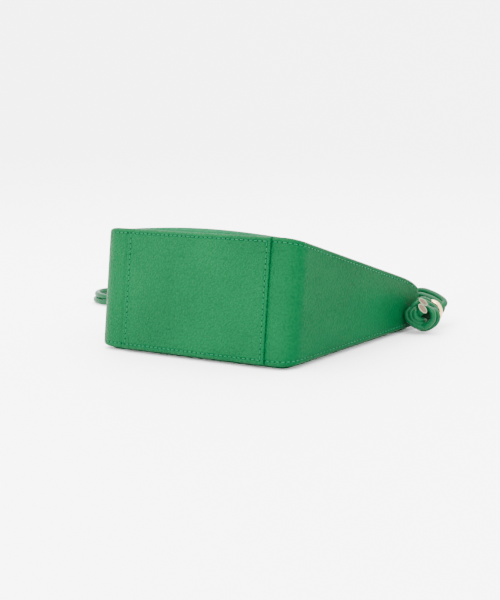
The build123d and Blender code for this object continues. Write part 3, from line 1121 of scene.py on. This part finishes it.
def knot_painted_shade_core(side):
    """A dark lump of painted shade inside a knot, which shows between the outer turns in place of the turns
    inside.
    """
    levels, columns = 17, 28
    lump_height, lump_scale = 0.10, 2.3
    bm = bmesh.new()
    rows = []
    for i in range(levels):
        polar = math.pi * (i + 0.5) / levels
        row = []
        for angle in round_angles(columns):
            ring_reach = math.sin(polar)
            spot = Vector((ring_reach * math.cos(angle), math.cos(polar), ring_reach * math.sin(angle)))
            swell = 1 + lump_height * noise.noise(spot * lump_scale)
            across, upward, toward = (value * half * swell for value, half in zip(spot, CORE_HALF))
            row.append(bm.verts.new(knot_point(side, (across, upward, toward - CORE_SET_BACK))))
        rows.append(row)
    grid_faces(bm, rows, closed=True)
    bm.faces.new(rows[0])
    bm.faces.new(rows[-1])
    return mesh_object("knot_painted_shade_core_" + side, bm, [hole])


def knot_tail(side, which):
    """A trimmed end that flattens toward its slanting cut, with a raw face inside a thin rim."""
    start, cut, long_half, short_half, slant = KNOT_TAILS[which]
    start, cut = Vector(start), Vector(cut)
    slant = math.radians(slant)
    long_way = Vector((math.cos(slant), math.sin(slant), 0.0))
    short_way = Vector((-math.sin(slant), math.cos(slant), 0.0))
    bm = bmesh.new()
    rows = []

    def oval(centre, long_reach, short_reach):
        row = []
        for angle in round_angles(32):
            spoke = long_way * long_reach * math.cos(angle) + short_way * short_reach * math.sin(angle)
            row.append(bm.verts.new(knot_point(side, centre + spoke)))
        rows.append(row)

    round_half = 2.4    # the cord's radius before it flattens
    for i in range(9):
        t = i / 8
        grown = t * t
        long_reach = round_half + (long_half - round_half) * grown
        short_reach = round_half + (short_half - round_half) * grown
        oval(start.lerp(cut, t), long_reach, short_reach)
    body_rows = len(rows)
    # rings from the rim in over the cut: how far in, and how far out of the cut
    for rim, rise in ((0.12, 0.16), (0.30, 0.20), (0.50, 0.12), (0.62, -0.04), (1.1, -0.10), (1.7, 0.0)):
        oval(cut + Vector((0, 0, rise)), long_half - rim, max(0.3, short_half - rim))
    grid_faces(bm, rows[:body_rows], closed=True, material=0)
    grid_faces(bm, rows[body_rows - 1:body_rows + 4], closed=True, material=1)
    grid_faces(bm, rows[body_rows + 3:], closed=True, material=2)
    bm.faces.new(rows[-1]).material_index = 2
    materials = [cord_leather, cut_rim, cut_leather]
    return mesh_object("cord_tail_" + which + "_" + side, bm, materials)


def knot(side):
    """The two cords knotted together, with their trimmed ends toward the base; returns the pieces."""
    runs = [[knot_point(side, spot) for spot in spots] for spots in KNOT_RUNS.values()]
    turns = cord_object("knot_turns_" + side, runs, KNOT_STRAND)
    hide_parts("knot_" + side)
    tails = [knot_tail(side, which) for which in KNOT_TAILS]
    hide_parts("cord_tails_" + side)
    return [turns, knot_painted_shade_core(side)] + tails


def handle():
    """The two handle cords and the knots at their ends."""
    knots = {side: knot(side) for side in ("right", "left")}
    for name, route in CORD_ROUTES.items():
        points = [world(*p) for p in route]
        piece = cord_object(name + "_leather", [points], CORD, resolution=12)
        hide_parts(name)


# ---- metal and small parts ----
def ring(side):
    """Round metal ring that the two cords run through."""
    sign = 1 if side == "right" else -1
    steps, wire_sides = 72, 20
    bm = bmesh.new()
    rows = []
    for angle in round_angles(steps):
        row = []
        for around in round_angles(wire_sides):
            reach = RING_RADIUS + RING_WIRE * math.cos(around)
            u = RING_MIDDLE_U + reach * math.cos(angle)
            w = RING_W + reach * math.sin(angle)
            v = RING_V + RING_WIRE * math.sin(around)
            row.append(bm.verts.new(place(sign * u, v, w)))
        rows.append(row)
    rows.append(rows[0])
    grid_faces(bm, rows, closed=True)
    body, replaces = side + "_ring", ["ring_" + side]
    mesh_object("ring_wire_" + side, bm, [pale_gold], body=body, replaces=replaces)


def paint_node(name, material):
    """Give a CAD node that stays as it is its detailed material."""
    node = frame["nodes"][name]
    node.data.materials.clear()
    node.data.materials.append(material)


def small_parts():
    """Materials of the CAD nodes that stay."""
    for side in ("right", "left"):
        paint_node("tab_backing_" + side, fibre_board)
        paint_node("zip_stop_" + side, pale_gold)
    for name in ("zip_teeth_front", "zip_teeth_back", "zip_slider", "zip_puller"):
        paint_node(name, pale_gold)
    paint_node("base_board", fibre_board)
    paint_node("inner_pocket", lining_cloth)
    paint_node("label_patch", pebbled_leather)


handle()
for side in ("right", "left"):
    gusset(side)
    ring(side)
    ring_tab(side)
side_lining()
base_cover()
panel_shell("front_panel_shell", 1, "front_panel", front_lift)
panel_shell("back_panel_shell", -1, "back_panel", back_lift)
for face, sign, lift_at in (("front", 1, front_lift), ("back", -1, back_lift)):
    inner_sheet(face, sign, "board", fibre_board, lift_at, drop=1.9, thickness=1.2)
    inner_sheet(face, sign, "lining", lining_cloth, lift_at, drop=3.3, thickness=0.6)
    zip_facing(face, sign)
    zip_tape(face, sign)
stitches()
small_parts()
